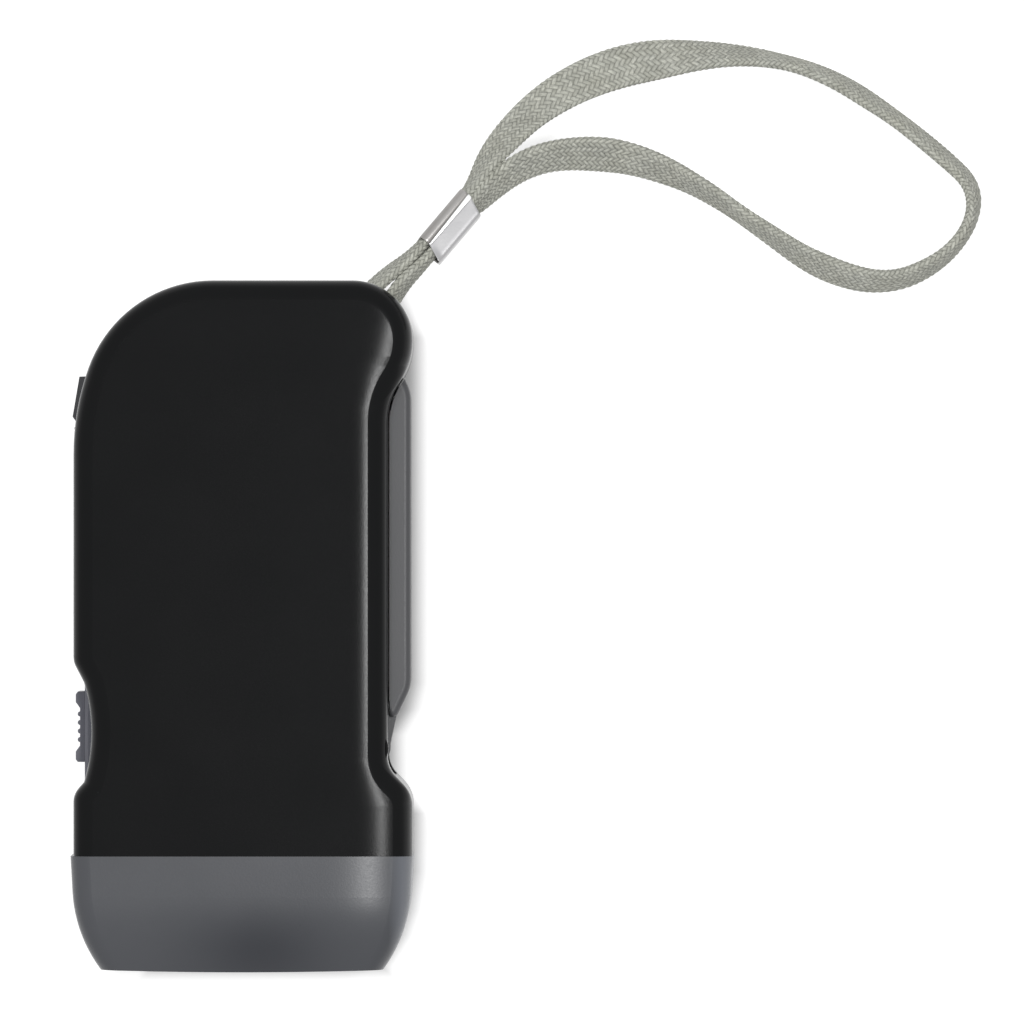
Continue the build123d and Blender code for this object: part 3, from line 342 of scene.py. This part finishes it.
def oval(count, wide, thick):
    """A flat oval, as a superellipse of power 3, with even steps of arc: points, and arc at each."""
    angle = np.linspace(0, 2 * np.pi, 4001)
    flat = np.sign(np.cos(angle)) * np.abs(np.cos(angle)) ** (2 / 3) * wide / 2
    high = np.sign(np.sin(angle)) * np.abs(np.sin(angle)) ** (2 / 3) * thick / 2
    arc = np.concatenate([[0], np.cumsum(np.hypot(np.diff(flat), np.diff(high)))])
    even = np.linspace(0, arc[-1], count + 1)[:-1]
    return np.interp(even, arc, flat), np.interp(even, arc, high), even, arc[-1]


def make_lace():
    """An oval section carried along the route, leaned as the picture shows and raised by the braid.

    The section is wider by LACE_SPREAD where it lies flat, hollowed by LACE_CUP as a parabola, and drawn
    to a point in its last row at each end. The braid wanders by slow sine waves, as hand-laid yarn does.
    """
    line = smooth_route(LACE_ROUTE)
    path, _ = walk(line, PATH_STEPS)
    centre, walked = walk(line, LACE_STEPS)
    along, across, up = directions(centre)
    lean = np.radians(np.interp(walked / walked[-1], *np.array(LACE_LEAN).T))
    lean = np.convolve(np.pad(lean, LEAN_BLUR // 2, mode="edge"), np.ones(LEAN_BLUR) / LEAN_BLUR,
                       mode="valid")[:, None]
    wide_way = across * np.cos(lean) + up * np.sin(lean)
    thick_way = up * np.cos(lean) - across * np.sin(lean)
    flat, high, arc, girth = oval(LACE_SIDES, LACE_WIDE, LACE_THICK)
    repeats = round(girth / (2 * YARN))
    around = arc / girth * repeats * 2 * YARN
    sway = YARN * sum(size * np.sin(walked / length) for size, length in SWAY)[:, None]
    wave = WAVE * YARN * np.sin(2 * np.pi * arc / girth + walked[:, None] / WAVE_STEP)
    yarn_along, yarn_around = walked[:, None] + wave, around + 0.3 * sway
    height = (braid(yarn_along, yarn_around) - 0.6) * RELIEF
    outward = unit(np.column_stack([np.sign(flat) * np.abs(flat / LACE_WIDE) ** 2 / LACE_WIDE,
                                    np.sign(high) * np.abs(high / LACE_THICK) ** 2 / LACE_THICK]))
    spread = 1 + LACE_SPREAD * np.cos(lean) ** 2
    out_flat = (flat + outward[:, 0] * height) * spread
    out_high = high + outward[:, 1] * height - LACE_CUP * np.cos(lean) * (1 - (2 * flat / LACE_WIDE) ** 2)
    grid = (centre[:, None, :] + out_flat[..., None] * wide_way[:, None, :]
            + out_high[..., None] * thick_way[:, None, :])
    grid[..., 2] -= np.minimum(grid[..., 2].min(axis=1) - FLOOR_GAP, 0.0)[:, None]
    grid[[0, -1]] = grid[[0, -1]].mean(axis=1, keepdims=True)
    lace = surface("wrist_lace", grid)
    set_lace_map(lace, len(arc), yarn_along, yarn_around, 2 * YARN * repeats)
    return lace, path


def set_lace_map(lace, columns, yarn_along, yarn_around, girth):
    """The lace's own map: how far along it and how far round it, both in repeats of the braid."""
    mesh = lace.data
    corner = np.empty(len(mesh.loops), np.int32)
    mesh.loops.foreach_get("vertex_index", corner)
    column = (corner % columns).reshape(-1, 4)
    seam = (column.max(axis=1) == columns - 1) & (column.min(axis=1) == 0)
    turn = np.where(seam[:, None] & (column == 0), girth, 0.0).ravel()
    layer = mesh.uv_layers.new(name="lace")
    layer.data.foreach_set("uv", (np.column_stack([yarn_along.ravel()[corner],
                                                   yarn_around.ravel()[corner] + turn]) / YARN).ravel())


def clip_outline(share):
    """The clip's folded sheet, seen along the lace: outer points from under its lip round to the lip's edge.

    The plate runs right, turns down a quarter circle, goes under the lace and up the left side, then over a
    tube of 1.1 mm radius, from whose back a straight lip slopes down to lie on the plate.
    share is 0 at the torch's end of the clip and 1 at its far end, where the tube is shorter and the lip
    wider.
    """
    edge = (-0.42 + 0.12 * share) * MM
    tube_r, tube_mid = 1.1 * MM, (1.1 * MM - CLIP_WIDE / 2, CLIP_HIGH / 2 - 0.75 * MM)
    corner_r, right, low, plate_high = 0.7 * MM, CLIP_WIDE / 2, -CLIP_HIGH / 2, 3.8 * MM

    def arc(middle, radius, start, stop, count):
        turn = np.radians(np.linspace(start, stop, count))
        return np.column_stack([middle[0] + radius * np.cos(turn), middle[1] + radius * np.sin(turn)])

    plate = np.column_stack([np.linspace(-0.9 * MM, right - corner_r, 8), np.full(8, plate_high)])
    shoulder = arc((right - corner_r, plate_high - corner_r), corner_r, 90, 0, 7)
    keel = arc((right - corner_r, low + corner_r), corner_r, 0, -90, 7)
    heel = arc((corner_r - right, low + corner_r), corner_r, -90, -180, 7)
    tube = arc(tube_mid, tube_r, 180, 48 + 26 * share, 22)
    lip = np.column_stack([np.linspace(tube[-1, 0], edge, 5)[1:],
                           np.linspace(tube[-1, 1], plate_high + CLIP_SHEET, 5)[1:]])
    return np.concatenate([plate, shoulder, keel, heel, tube, lip, lip[-1:] + (0.06 * MM, -0.1 * MM)])


def make_clip():
    """The folded sheet, a band as thick as CLIP_SHEET, carried along the clip.

    Each point is moved along the clip by a shear that grows across it, because the plate was folded askew,
    and the plate's torch end is flared by a parabola over its last millimetre.
    """
    along = np.array(CLIP_HEADING) / np.linalg.norm(CLIP_HEADING)
    across = unit(np.cross(along, (0.0, 0.0, 1.0)))
    up = np.cross(across, along)
    steps = np.concatenate([[0.0, 0.0, 0.012], np.linspace(0.03, 0.97, 30), [0.988, 1.0, 1.0]])
    rows = []
    for row, step in enumerate(steps):
        outer = clip_outline(step)
        way = unit(np.gradient(outer, axis=0))
        inner = outer + np.column_stack([way[:, 1], -way[:, 0]]) * CLIP_SHEET
        if row in (0, len(steps) - 1):
            outer = inner = (outer + inner) / 2
        elif row in (1, len(steps) - 2):
            outer, inner = 0.85 * outer + 0.15 * inner, 0.15 * outer + 0.85 * inner
        rows.append(np.concatenate([outer, inner[::-1]]))
    band = np.array(rows)
    flat, high = band[..., 0], band[..., 1]
    askew = np.clip(flat / CLIP_WIDE + 0.1, 0, 1) * np.clip(high / CLIP_HIGH + 0.5, 0, 1) ** 2
    far = (steps[:, None] - 0.5) * CLIP_LONG - CLIP_SHEAR * askew
    near = np.clip(1 - steps[:, None] * CLIP_LONG / MM, 0, 1) ** 2
    high = high + CLIP_FLARE * near * np.clip(2 * flat / CLIP_WIDE, 0, 1) * (high > 0)
    grid = (np.array(CLIP_AT) + far[..., None] * along + flat[..., None] * across + high[..., None] * up)
    clip = surface("lace_clip", grid)
    # each point's place round the fold, from which the finish paints the sheet's light and shade
    shade = np.concatenate([np.arange(band.shape[1] // 2), np.arange(band.shape[1] // 2)[::-1]])
    layer = clip.data.attributes.new("fold", "FLOAT", "POINT")
    layer.data.foreach_set("value", np.tile(shade / shade.max(), len(steps)).astype(np.float32))
    close_up(clip)
    return clip


lace, lace_path = make_lace()
close_up(lace, 80.0)
clip = make_clip()
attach(lace, "torch")
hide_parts("strap")
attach(clip, "torch")
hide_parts("ferrule")


# --- Finishes -------------------------------------------------------------------------------------------
def moulded(name, colour, roughness, level=0.3, drift=0.08):
    """Moulded plastic: spark-eroded grain and a slow drift of shade and gloss."""
    made = Finish(name, Specular_IOR_Level=level)
    cloud = made.noise(14 * MM, detail=3)
    dark = tuple(c * (1 - drift) for c in colour[:3]) + (1.0,)
    light = tuple(c * (1 + drift) for c in colour[:3]) + (1.0,)
    made.set("Base Color", made.mix(cloud, dark, light))
    speck = made.noise(0.25 * MM, detail=3, roughness=0.6)
    made.set("Roughness", roughness + (speck - 0.5) * 0.16 + (cloud - 0.5) * 0.06)
    made.bump(speck, 0.012 * MM)
    return made


def crown(made, edge, reach, hold=0.0):
    """How far the face falls towards its right edge, in metres.

    From reach inside the edge it falls as a cube, whose slope is CROWN_TILT at the edge. Past the edge it
    falls on as a parabola, or where hold is 1 it only dips, so that the rim keeps its own slope.
    """
    x, _, _ = made.axes()
    inside = ((x - edge) / reach + 1.0).most(0.0).least(1.0)
    past = (x - edge).most(0.0).least((hold * (DIP_SHARE - 1) + 1.0) * reach)
    curve = reach ** -1.0 * CROWN_TILT
    bend = hold * (curve + DIP_BEND) - curve
    return inside ** 3.0 * (reach * (-CROWN_TILT / 3)) + past * (past * bend - CROWN_TILT)


def case_black():
    """Black plastic, smooth on the face, which is crowned along its right side as the moulding is."""
    made = Finish("case_black", Specular_IOR_Level=0.09)
    cloud = made.noise(14 * MM, detail=3)
    made.set("Base Color", made.mix(cloud, tone(14, 15, 16), tone(18, 18.5, 19.5)))
    speck = made.noise(0.22 * MM, detail=3, roughness=0.6)
    made.set("Roughness", 0.19 + (speck - 0.5) * 0.12 + (cloud - 0.5) * 0.05)
    _, y, _ = made.axes()
    edge = made.profile(y, *FACE_EDGE)
    neck = ((LOBE_FROM - edge) / (LOBE_FROM - NECK_FROM)).most(0.0).least(1.0)
    reach = neck * (NECK_REACH - LOBE_REACH) + LOBE_REACH
    made.bump(crown(made, edge, reach, neck) + speck * (0.006 * MM), 1.0)
    return made


def metal(name, colour, roughness, stretch=(1, 1, 12)):
    """Bare metal with fine drawn lines and cloudy gloss."""
    made = Finish(name, Metallic=1.0)
    lines = made.noise(0.5 * MM, detail=4, stretch=stretch)
    cloud = made.noise(4 * MM, detail=2)
    dark = tuple(c * 0.82 for c in colour[:3]) + (1.0,)
    made.set("Base Color", made.mix(cloud, dark, colour))
    made.set("Roughness", roughness + (lines - 0.5) * 0.2)
    made.bump(lines, 0.004 * MM)
    return made


def braided():
    """Spun yarn in a two-over-two braid, drawn by the lace's own map with the formula of its relief.

    Each yarn has its own shade, fine fibres along it, and painted shade in the gaps where it dives under the
    next.
    """
    made = Finish("lace", Roughness=0.85, Specular_IOR_Level=0.15, Sheen_Weight=0.2, Sheen_Roughness=0.5)
    u, v, _ = made.axes(made.node("UVMap", {"uv_map": "lace"}))
    first, second = u + v, u - v
    number = (first.floor() - second.floor()).wrap(4.0)
    on_top = number.below(1.5)
    below = 1 - on_top
    across = on_top * second.fraction() + below * first.fraction()
    drift = on_top * first.fraction() + below * (1 - second.fraction())
    arch = ((drift + number.wrap(2.0)) * (np.pi / 2)).sine() * 0.6 + 0.4
    back = (1 - ((across - 0.5) * 2.0) ** 2.0).most(0.0).root() * arch
    yarn = made.node("CombineXYZ", None, {0: on_top * second.floor() + below * first.floor(), 1: on_top,
                                          2: ((first + second) / 8.0).floor()})
    shade = made.node("TexWhiteNoise", {"noise_dimensions": "3D"}, {"Vector": yarn})
    strands = made.node("CombineXYZ", None, {0: across * 5.0 + number * 7.0, 1: drift * 0.8 + u, 2: v})
    fibre = made.node("TexNoise", None, {"Vector": strands, "Scale": 1.0, "Detail": 3.0, "Roughness": 0.6})
    blotch = made.noise(4 * MM, detail=2)
    glint = ((fibre - 0.5) * 2.0 + 0.42).most(0.0).least(1.0)
    body = made.mix(glint, tone(150, 151, 140), tone(240, 240, 226))
    body = made.mix(shade * 0.55, body, tone(152, 152, 139))
    body = made.mix(blotch * 0.3, body, tone(196, 200, 200))
    # painted shade: the colour darkens into the gaps between the yarns' backs
    made.set("Base Color", made.mix((1 - back) ** 2.2 * (0.55 + shade * 0.45), body, tone(74, 74, 67)))
    made.bump(back + fibre * 0.4, 0.16 * MM)
    return made


def folded():
    """Plated sheet with light and shade painted round its fold: a brushed tube painted lighter on top and
    darker at its back, a lip painted white as a highlight, a painted dark crease and cut, and a cloudy plate
    whose turned-down keel and heel are painted darker.
    """
    made = Finish("ferrule_steel", Metallic=1.0)
    fold = made.node("Attribute", {"attribute_name": "fold"}, out=2)
    cloud = made.noise(2.2 * MM, detail=3)
    lines = made.noise(0.35 * MM, detail=3, stretch=(1, 1, 6))
    pale, keel, heel = (0.42, 0.42, 0.43, 1), (0.30, 0.29, 0.28, 1), (0.14, 0.135, 0.13, 1)
    tube, tube_painted_light, tube_painted_shade = (0.27, 0.26, 0.25, 1), (0.40, 0.39, 0.38, 1), (0.2, 0.19, 0.18, 1)
    crease_painted_shade, cut = (0.07, 0.07, 0.065, 1), (0.05, 0.05, 0.05, 1)
    # painted light and shade round the fold: lighter top and darker back on the tube, dark crease and cut,
    # the lip painted white as a highlight, keel and heel painted darker
    sheet = made.ramp(fold, (0.0, pale), (0.14, pale), (0.45, keel), (0.58, heel), (0.68, tube),
                      (0.80, tube_painted_light), (0.87, tube_painted_shade), (0.905, crease_painted_shade), (0.925, WHITE), (0.98, WHITE),
                      (1.0, cut))
    made.set("Base Color", made.mix(cloud * 0.35, sheet, (0.5, 0.49, 0.48, 1)))
    made.set("Roughness", 0.24 + cloud * 0.12)
    made.bump(lines, 0.006 * MM)
    return made


def smoked():
    """Grey satin plastic of the hood, with painted shade as a dark spot low in the middle, darker towards the
    bottom, and a painted highlight towards its right edge.
    """
    made = Finish("smoke_hood", Specular_IOR_Level=0.35)
    x, y, _ = made.axes()
    # painted shade: a dark spot low in the middle of the hood
    far = ((x - PAINTED_SHADE_X) / PAINTED_SHADE_WIDE) ** 2.0 + ((y - PAINTED_SHADE_Y) / PAINTED_SHADE_HIGH) ** 2.0
    spot = (far * -0.7).exponent()
    fall = ((y + 52 * MM) / (-22 * MM) + 1.0).most(0.0).least(1.0)
    cloud = made.noise(11 * MM, detail=3)
    body = made.mix(cloud, tone(68, 70, 74), tone(81, 82, 86))
    body = made.mix(fall * 0.4, body, tone(64, 66, 71))
    # painted highlight: the colour turns paler towards the right edge, standing in for light from the right
    body = made.mix(((x - 22.3 * MM) / (4 * MM)).most(0.0).least(0.5), body, tone(128, 132, 140))
    made.set("Base Color", made.mix(spot * 0.75, body, tone(38, 40, 46)))
    speck = made.noise(0.3 * MM, detail=3)
    made.set("Roughness", 0.3 + (speck - 0.5) * 0.1)
    made.bump(crown(made, HOOD_EDGE, HOOD_REACH) + speck * (0.006 * MM), 1.0)
    return made


def clear(name, colour):
    """Clear moulded plastic with the faintest flow lines."""
    made = Finish(name, Transmission_Weight=1.0, IOR=1.49)
    flow = made.noise(5 * MM, detail=2)
    made.set("Base Color", made.mix(flow, colour, WHITE))
    made.set("Roughness", 0.04 + flow * 0.04)
    return made


def board():
    """Green lacquered board with paler copper under it in a grid of patches."""
    made = Finish("circuit_board", Coat_Weight=0.4)
    x, y, _ = made.axes()
    band = ((x / (1.6 * MM)).sine() * 3.0).most(0.0).least(1.0)
    cross = ((y / (2.3 * MM)).sine() * 3.0).most(0.0).least(1.0)
    track = (band * cross) * 0.7
    cloud = made.noise(4 * MM)
    made.set("Base Color", made.mix(track, made.mix(cloud, (0.01, 0.07, 0.03, 1), (0.02, 0.10, 0.04, 1)),
                                    (0.05, 0.20, 0.08, 1)))
    made.set("Roughness", 0.35 + cloud * 0.1)
    made.bump(track, 0.03 * MM)
    return made


def wound():
    """Enamelled copper wire laid in turns."""
    made = Finish("copper", Metallic=0.9)
    x, _, _ = made.axes()
    turn = ((x / (0.12 * MM)).sine() + 1) * 0.5
    cloud = made.noise(3 * MM)
    made.set("Base Color", made.mix(turn, (0.22, 0.05, 0.015, 1), (0.65, 0.24, 0.09, 1)))
    made.set("Roughness", 0.28 + cloud * 0.1)
    made.bump(turn, 0.05 * MM)
    return made


def laminated():
    """Stamped iron sheets stacked along z, oiled and slightly rusty at the cut."""
    made = Finish("yoke_iron", Metallic=0.8)
    _, _, z = made.axes()
    sheet = ((z / (0.11 * MM)).sine() + 1) * 0.5
    rust = made.noise(2.5 * MM, detail=4)
    made.set("Base Color", made.mix(rust, (0.16, 0.15, 0.15, 1), (0.26, 0.21, 0.18, 1)))
    made.set("Roughness", 0.4 + sheet * 0.2)
    made.bump(sheet, 0.03 * MM)
    return made


finishes = {
    "case_black": case_black(),
    "smoke_hood": smoked(),
    "clear_lens": clear("clear_lens", (0.93, 0.96, 0.98, 1)),
    "reflector_chrome": metal("reflector_chrome", (0.9, 0.9, 0.92, 1), roughness=0.14, stretch=(1, 1, 1)),
    "led_epoxy": clear("led_epoxy", (0.88, 0.93, 1.0, 1)),
    "circuit_board": board(),
    "board_parts": moulded("board_parts", (0.03, 0.03, 0.035, 1), roughness=0.35),
    "lever_grey": moulded("lever_grey", tone(66, 66.5, 69), roughness=0.42, level=0.5),
    "switch_grey": moulded("switch_grey", tone(98, 99, 107), roughness=0.42),
    "steel": metal("steel", (0.62, 0.62, 0.63, 1), roughness=0.28),
    "screw_steel": metal("screw_steel", (0.48, 0.48, 0.5, 1), roughness=0.35, stretch=(1, 1, 1)),
    "gear_white": moulded("gear_white", (0.78, 0.77, 0.72, 1), roughness=0.38, drift=0.05),
    "magnet": moulded("magnet", (0.06, 0.06, 0.065, 1), roughness=0.5),
    "yoke_iron": laminated(),
    "bobbin": moulded("bobbin", (0.7, 0.66, 0.55, 1), roughness=0.45, drift=0.06),
    "bridge_black": moulded("bridge_black", (0.03, 0.03, 0.032, 1), roughness=0.5),
    "copper": wound(),
    "cell_wrap": moulded("cell_wrap", (0.05, 0.22, 0.10, 1), roughness=0.3),
    "lace": braided(),
    "ferrule_steel": folded(),
}

for part in frame["record"]["subparts"]:
    wear(nodes[part["node"]], finishes[part["material_slot"]])
wear(lace, finishes["lace"])
wear(clip, finishes["ferrule_steel"])


# --- Floor and light ------------------------------------------------------------------------------------
def seen(tree):
    """1 for rays from the camera and for mirrored and refracted ones, 0 for those from rough surfaces."""
    path = tree.nodes.new("ShaderNodeLightPath")
    camera, glossy, through = [Value(tree, path.outputs[name]) for name in
                               ("Is Camera Ray", "Is Glossy Ray", "Is Transmission Ray")]
    return camera.most(glossy).most(through)


def make_floor():
    """A white floor with a shadow painted round the torch, as a patch where its emission is masked.

    A point's distance out of the patch is the most of its distances past the four sides, along X or Y.
    """
    corner = np.array([-2.0, 2.0])
    grid = np.stack(np.meshgrid(corner, corner, [0.0], indexing="ij"), axis=-1)[:, :, 0, :]
    floor = surface("floor", grid, closed=False, smooth=False)
    made = Finish("floor", Roughness=0.9, Specular_IOR_Level=0.0)
    made.set("Base Color", (0.62, 0.62, 0.62, 1.0))
    x, y, _ = made.axes()
    right, left = made.profile(y, *SHADE_RIGHT), made.profile(y, *SHADE_LEFT)
    out = (x - right).most(-1 * x - left).most(y - SHADE_HIGH).most(SHADE_LOW - y)
    outside_painted_shadow = made.node("MapRange", {"interpolation_type": "SMOOTHSTEP"},
                    {"Value": out, "From Min": SHADE_IN, "From Max": SHADE_OUT, "To Min": 0.0, "To Max": 1.0})
    # painted shadow: the floor's emission fades to black inside the patch
    made.set("Emission Color", made.mix(outside_painted_shadow, BLACK, WHITE))
    made.set("Emission Strength", seen(made.tree) * FLOOR_GLOW)
    wear(floor, made)


def make_world():
    """White all round, at full strength where it is seen and PLAIN_LIGHT where it only lights."""
    world = bpy.data.worlds.new("studio")
    bpy.context.scene.world = world
    world.use_nodes = True
    tree = world.node_tree
    background = tree.nodes["Background"]
    join(tree, background.inputs["Strength"], seen(tree) * (1 - PLAIN_LIGHT) + PLAIN_LIGHT)
    join(tree, background.inputs["Color"], WHITE)


def make_lamp(name, place, target, size, watts, mirrored=True):
    """A soft square lamp that faces its target, and that glossy surfaces may mirror."""
    data = bpy.data.lights.new(name, "AREA")
    data.shape, data.size, data.energy = "SQUARE", size, watts
    lamp = bpy.data.objects.new(name, data)
    lamp.location = place
    lamp.rotation_euler = (Vector(target) - Vector(place)).to_track_quat("-Z", "Y").to_euler()
    lamp.visible_glossy = mirrored
    bpy.context.scene.collection.objects.link(lamp)


make_floor()
make_world()
torch_middle = (0.0, 0.0, SEAM_HEIGHT)
make_lamp("key", KEY_PLACE, torch_middle, KEY_SIZE, KEY_WATTS, mirrored=False)
make_lamp("edge", EDGE_PLACE, torch_middle, EDGE_SIZE, EDGE_WATTS)
bpy.context.scene.view_settings.view_transform = "Standard"
